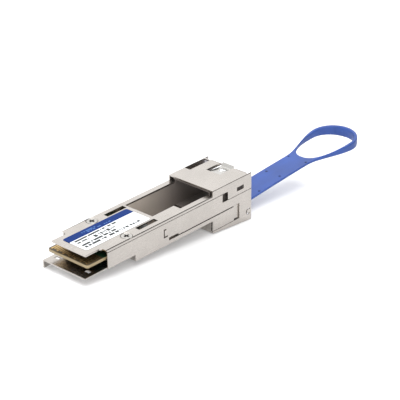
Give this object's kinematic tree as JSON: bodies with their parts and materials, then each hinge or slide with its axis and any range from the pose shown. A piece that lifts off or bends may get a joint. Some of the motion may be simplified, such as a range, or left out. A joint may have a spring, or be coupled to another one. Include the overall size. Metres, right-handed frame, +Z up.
{
  "type": "port adapter module",
  "caption": "Metal QSFP-size plug module with a card-edge nose, an open bay for an SFP-size module and a sprung release slider with a blue pull tab.",
  "frame": {"origin": "centre of the whole module's box in plan, at its lowest point, the rear lower edge of the head", "axes": "+X from the card-edge nose to the pull tab, +Y to the left side, +Z up; the plug body's faces lie along the axes"},
  "size_m": [0.1346, 0.0184, 0.0165],
  "materials": {
    "nickel_sheet": "nickel-plated sheet, satin, slightly warm",
    "spring_steel": "bright rolled spring steel",
    "screw_steel": "nickel-plated, turned",
    "contact_gold": "gold-plated contacts",
    "board": "green solder mask over glass-epoxy board",
    "black_plastic": "moulded, fine matt texture",
    "capacitor_body": "brown ceramic with tinned ends",
    "label_stock": "white coated label with a blue band",
    "tab_blue": "blue flexible moulding, semi-gloss"
  },
  "bodies": {
    "chassis": {"upper_cover": "nickel_sheet", "lower_shell": "nickel_sheet", "nose_plate": "nickel_sheet", "spring_stop_left": "nickel_sheet", "spring_stop_right": "nickel_sheet", "cage_liner": "nickel_sheet", "circuit_board": "board", "edge_contacts_top": "contact_gold", "edge_contacts_bottom": "contact_gold", "sfp_receptacle": "black_plastic", "receptacle_contacts_upper": "contact_gold", "receptacle_contacts_lower": "contact_gold", "controller_chip": "black_plastic", "memory_chip": "black_plastic", "capacitor_1": "capacitor_body", "capacitor_2": "capacitor_body", "capacitor_3": "capacitor_body", "capacitor_4": "capacitor_body", "capacitor_5": "capacitor_body", "capacitor_6": "capacitor_body", "resistor_1": "black_plastic", "resistor_2": "black_plastic", "resistor_3": "black_plastic", "resistor_4": "black_plastic", "standoff_left": "screw_steel", "screw_left": "screw_steel", "standoff_right": "screw_steel", "screw_right": "screw_steel", "label": "label_stock", "return_spring_left": "spring_steel", "return_spring_right": "spring_steel"},
    "slider": {"release_slider": "nickel_sheet", "tab_pin": "spring_steel"},
    "tab": {"pull_tab": "tab_blue"},
    "latch": {"latch_tongue": "spring_steel"}
  },
  "joints": [
    {"name": "release_slide", "type": "slide", "parent": "chassis", "child": "slider", "axis": [1, 0, 0], "range_m": [0, 0.0025], "stiffness_N_per_m": 600, "springref_m": -0.002, "deforming": ["return_spring_left", "return_spring_right"]},
    {"name": "tab_flex", "type": "hinge", "parent": "slider", "child": "tab", "pos_m": [0.0023, 0, 0.0027], "axis": [0, 1, 0], "range_deg": [-35, 15], "stiffness_Nm_per_rad": 0.02},
    {"name": "tongue_latch", "type": "hinge", "parent": "chassis", "child": "latch", "pos_m": [-0.0024, 0, 0.0156], "axis": [0, -1, 0], "range_deg": [0, 8], "stiffness_Nm_per_rad": 0.1}
  ]
}
